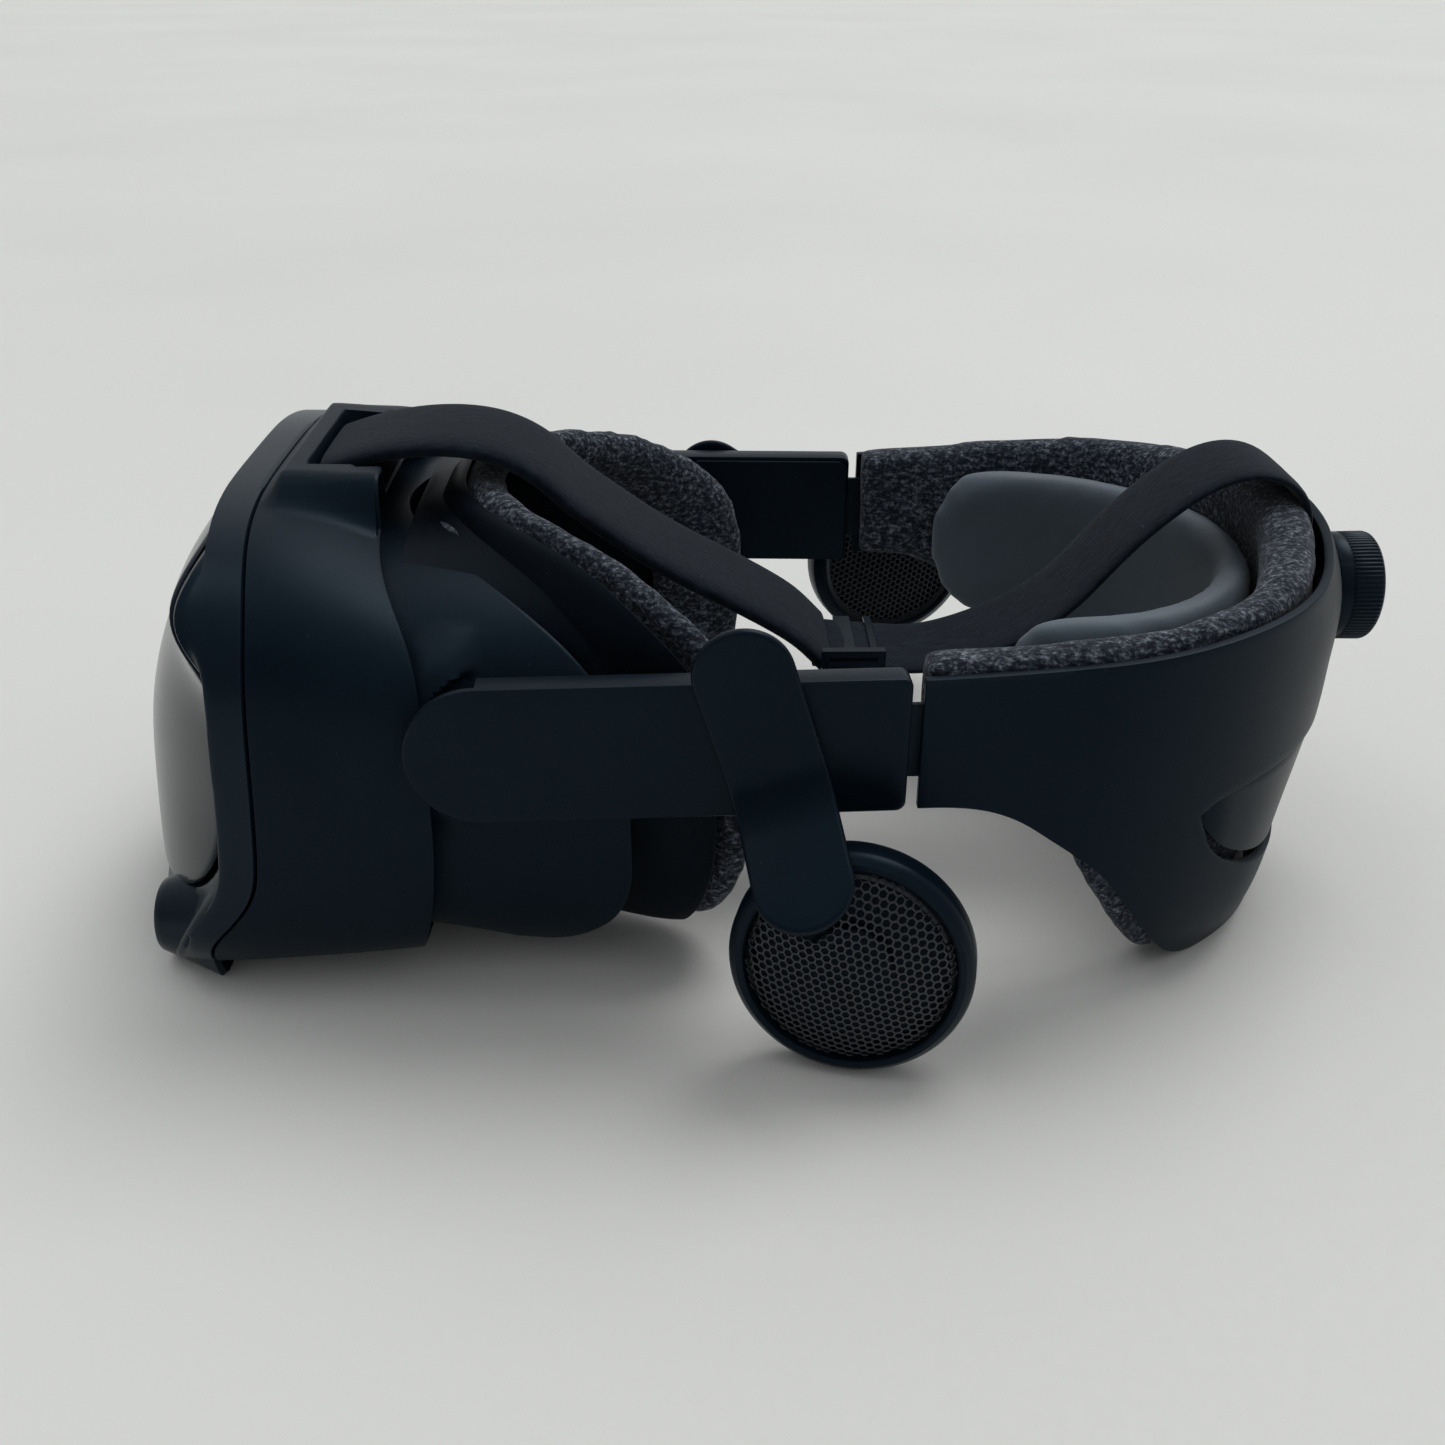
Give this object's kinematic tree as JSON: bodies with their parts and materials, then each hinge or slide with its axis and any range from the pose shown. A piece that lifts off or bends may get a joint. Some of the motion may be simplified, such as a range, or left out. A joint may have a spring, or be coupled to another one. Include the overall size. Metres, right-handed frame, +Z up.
{
  "type": "vr headset",
  "caption": "Head-worn VR visor with a hinged rigid headband, padded rear crown with tightening knob, sprung-fit face gasket, felt top strap and off-ear speakers.",
  "frame": {"origin": "centre of the bounding box's footprint, on the table the headset lies on", "axes": "+Z up, the wearer looks along -Y, +X to the wearer's left"},
  "size_m": [0.2284, 0.3359, 0.1269],
  "materials": {
    "adjuster_pinion": "ground",
    "adjuster_rack_left": "plain moulded",
    "adjuster_rack_right": "plain moulded",
    "carriage_frame": "fine satin grain",
    "cradle_pad": "smooth moulded foam skin",
    "crown_knob": "satin",
    "crown_pad": "knitted charcoal melange",
    "crown_shell": "fine satin grain",
    "display_chassis": "plain moulded",
    "front_bezel": "satin",
    "front_plate": "polished, almost black",
    "frunk_tray": "satin",
    "gasket_frame": "plain moulded",
    "gasket_pad": "knitted charcoal melange",
    "ipd_pinion": "ground",
    "ipd_rail_lower": "ground",
    "ipd_rail_upper": "ground",
    "ipd_slider": "satin",
    "left_arm": "satin black paint",
    "left_arm_liner": "plain moulded",
    "left_camera": "polished, almost black",
    "left_display_panel": "dark display panel",
    "left_ear_arm": "satin black paint",
    "left_ear_hub": "plain moulded",
    "left_ear_pivot": "ground",
    "left_lens": "polished lens",
    "left_lens_barrel": "plain moulded",
    "left_pivot_pin": "ground",
    "left_speaker_driver": "plain moulded",
    "left_speaker_ear_grille": "black perforated sheet",
    "left_speaker_grille": "black perforated sheet",
    "left_speaker_housing": "satin",
    "left_strap_band": "plain moulded",
    "main_board": "green circuit board",
    "main_shell": "fine satin grain",
    "rear_bridge": "satin",
    "relief_knob": "satin",
    "right_arm": "satin black paint",
    "right_arm_liner": "plain moulded",
    "right_camera": "polished, almost black",
    "right_display_panel": "dark display panel",
    "right_ear_arm": "satin black paint",
    "right_ear_hub": "plain moulded",
    "right_ear_pivot": "ground",
    "right_lens": "polished lens",
    "right_lens_barrel": "plain moulded",
    "right_pivot_pin": "ground",
    "right_speaker_driver": "plain moulded",
    "right_speaker_ear_grille": "black perforated sheet",
    "right_speaker_grille": "black perforated sheet",
    "right_speaker_housing": "satin",
    "right_strap_band": "plain moulded",
    "strap_buckle": "plain moulded",
    "system_button": "satin",
    "tether_socket": "plain moulded",
    "top_strap_front": "navy black felt",
    "top_strap_rear": "navy black felt",
    "usb_port": "ground"
  },
  "bodies": {
    "visor": {"front_bezel": "front_bezel", "left_camera": "left_camera", "right_camera": "right_camera", "main_shell": "main_shell", "display_chassis": "display_chassis", "frunk_tray": "frunk_tray", "usb_port": "usb_port", "main_board": "main_board", "ipd_rail_upper": "ipd_rail_upper", "ipd_rail_lower": "ipd_rail_lower", "tether_socket": "tether_socket", "top_strap_front": "top_strap_front"},
    "front_plate": {"front_plate": "front_plate"},
    "system_button": {"system_button": "system_button"},
    "left_eye": {"left_lens": "left_lens", "left_lens_barrel": "left_lens_barrel", "left_display_panel": "left_display_panel"},
    "right_eye": {"right_lens": "right_lens", "right_lens_barrel": "right_lens_barrel", "right_display_panel": "right_display_panel"},
    "ipd_slider": {"ipd_slider": "ipd_slider"},
    "ipd_pinion": {"ipd_pinion": "ipd_pinion"},
    "carriage": {"carriage_frame": "carriage_frame", "left_pivot_pin": "left_pivot_pin", "right_pivot_pin": "right_pivot_pin"},
    "relief_knob": {"relief_knob": "relief_knob"},
    "gasket": {"gasket_frame": "gasket_frame", "gasket_pad": "gasket_pad"},
    "headband": {"left_arm": "left_arm", "right_arm": "right_arm", "left_arm_liner": "left_arm_liner", "right_arm_liner": "right_arm_liner", "left_strap_band": "left_strap_band", "right_strap_band": "right_strap_band", "strap_buckle": "strap_buckle"},
    "crown": {"crown_shell": "crown_shell", "rear_bridge": "rear_bridge", "crown_pad": "crown_pad", "cradle_pad": "cradle_pad", "top_strap_rear": "top_strap_rear"},
    "crown_knob": {"crown_knob": "crown_knob", "adjuster_pinion": "adjuster_pinion"},
    "rack_left": {"adjuster_rack_left": "adjuster_rack_left"},
    "rack_right": {"adjuster_rack_right": "adjuster_rack_right"},
    "left_ear_pivot": {"left_ear_pivot": "left_ear_pivot"},
    "left_ear_arm": {"left_ear_arm": "left_ear_arm", "left_ear_hub": "left_ear_hub"},
    "left_speaker": {"left_speaker_housing": "left_speaker_housing", "left_speaker_grille": "left_speaker_grille", "left_speaker_ear_grille": "left_speaker_ear_grille", "left_speaker_driver": "left_speaker_driver"},
    "right_ear_pivot": {"right_ear_pivot": "right_ear_pivot"},
    "right_ear_arm": {"right_ear_arm": "right_ear_arm", "right_ear_hub": "right_ear_hub"},
    "right_speaker": {"right_speaker_housing": "right_speaker_housing", "right_speaker_grille": "right_speaker_grille", "right_speaker_ear_grille": "right_speaker_ear_grille", "right_speaker_driver": "right_speaker_driver"}
  },
  "joints": [
    {"name": "front_plate_off", "type": "slide", "parent": "visor", "child": "front_plate", "axis": [0, -1, 0], "range_m": [0, 0.06]},
    {"name": "system_button_press", "type": "slide", "parent": "visor", "child": "system_button", "axis": [0, 0, 1], "range_m": [0, 0.001], "stiffness_N_per_m": 500},
    {"name": "left_eye_slide", "type": "slide", "parent": "visor", "child": "left_eye", "axis": [1, 0, 0], "range_m": [-0.003, 0.003]},
    {"name": "right_eye_slide", "type": "slide", "parent": "visor", "child": "right_eye", "axis": [1, 0, 0], "range_m": [-0.003, 0.003]},
    {"name": "ipd_slider_slide", "type": "slide", "parent": "visor", "child": "ipd_slider", "axis": [1, 0, 0], "range_m": [-0.003, 0.003]},
    {"name": "ipd_pinion_turn", "type": "hinge", "parent": "visor", "child": "ipd_pinion", "pos_m": [0, -0.099, 0.059], "axis": [0, 1, 0], "range_deg": [-33, 33]},
    {"name": "eye_relief", "type": "slide", "parent": "visor", "child": "carriage", "axis": [0, 1, 0], "range_m": [0, 0.008]},
    {"name": "relief_knob_turn", "type": "hinge", "parent": "carriage", "child": "relief_knob", "pos_m": [-0.0756, -0.07, 0.04], "axis": [-1, 0, 0], "range_deg": [0, 301]},
    {"name": "gasket_off", "type": "slide", "parent": "carriage", "child": "gasket", "axis": [0, 1, 0], "range_m": [0, 0.012]},
    {"name": "headband_tilt", "type": "hinge", "parent": "carriage", "child": "headband", "pos_m": [0, -0.066, 0.0735], "axis": [1, 0, 0], "range_deg": [-15, 25], "deforming": ["top_strap_front"]},
    {"name": "crown_slide", "type": "slide", "parent": "headband", "child": "crown", "axis": [0, 1, 0], "range_m": [0, 0.03], "deforming": ["top_strap_rear"]},
    {"name": "crown_knob_turn", "type": "hinge", "parent": "crown", "child": "crown_knob", "pos_m": [0, 0.15, 0.0781], "axis": [0, 1, 0], "range_deg": [0, 261]},
    {"name": "rack_left_turn", "type": "hinge", "parent": "crown", "child": "rack_left", "pos_m": [0, 0.074, 0.087], "axis": [0, 0, 1], "range_deg": [-23, 0]},
    {"name": "rack_right_turn", "type": "hinge", "parent": "crown", "child": "rack_right", "pos_m": [0, 0.074, 0.0692], "axis": [0, 0, 1], "range_deg": [0, 23]},
    {"name": "left_ear_swing", "type": "hinge", "parent": "headband", "child": "left_ear_pivot", "pos_m": [0.0842, 0, 0.0735], "axis": [1, 0, 0], "range_deg": [-35, 40]},
    {"name": "left_ear_slide", "type": "slide", "parent": "left_ear_pivot", "child": "left_ear_arm", "axis": [0, 0.2924, -0.9563], "range_m": [0, 0.015]},
    {"name": "left_speaker_tilt", "type": "hinge", "parent": "left_ear_arm", "child": "left_speaker", "pos_m": [0.10155, 0.00992, 0.04106], "axis": [0, 0.9563, 0.2924], "range_deg": [-14, 2]},
    {"name": "right_ear_swing", "type": "hinge", "parent": "headband", "child": "right_ear_pivot", "pos_m": [-0.0842, 0, 0.0735], "axis": [1, 0, 0], "range_deg": [-75, 0]},
    {"name": "right_ear_slide", "type": "slide", "parent": "right_ear_pivot", "child": "right_ear_arm", "axis": [0, 0.8387, -0.5446], "range_m": [-0.008, 0.007]},
    {"name": "right_speaker_tilt", "type": "hinge", "parent": "right_ear_arm", "child": "right_speaker", "pos_m": [-0.10155, 0.03516, 0.05067], "axis": [0, -0.5446, -0.8387], "range_deg": [-14, 2]}
  ],
  "couplings": [
    {"joint": "right_eye_slide", "follows": "left_eye_slide", "ratio": -1},
    {"joint": "ipd_slider_slide", "follows": "left_eye_slide", "ratio": -1},
    {"joint": "ipd_pinion_turn", "follows": "left_eye_slide", "rad_per_m": 188.7},
    {"joint": "relief_knob_turn", "follows": "eye_relief", "rad_per_m": 655},
    {"joint": "crown_knob_turn", "follows": "crown_slide", "rad_per_m": 151.5},
    {"joint": "rack_left_turn", "follows": "crown_slide", "rad_per_m": -13.33},
    {"joint": "rack_right_turn", "follows": "crown_slide", "rad_per_m": 13.33}
  ]
}
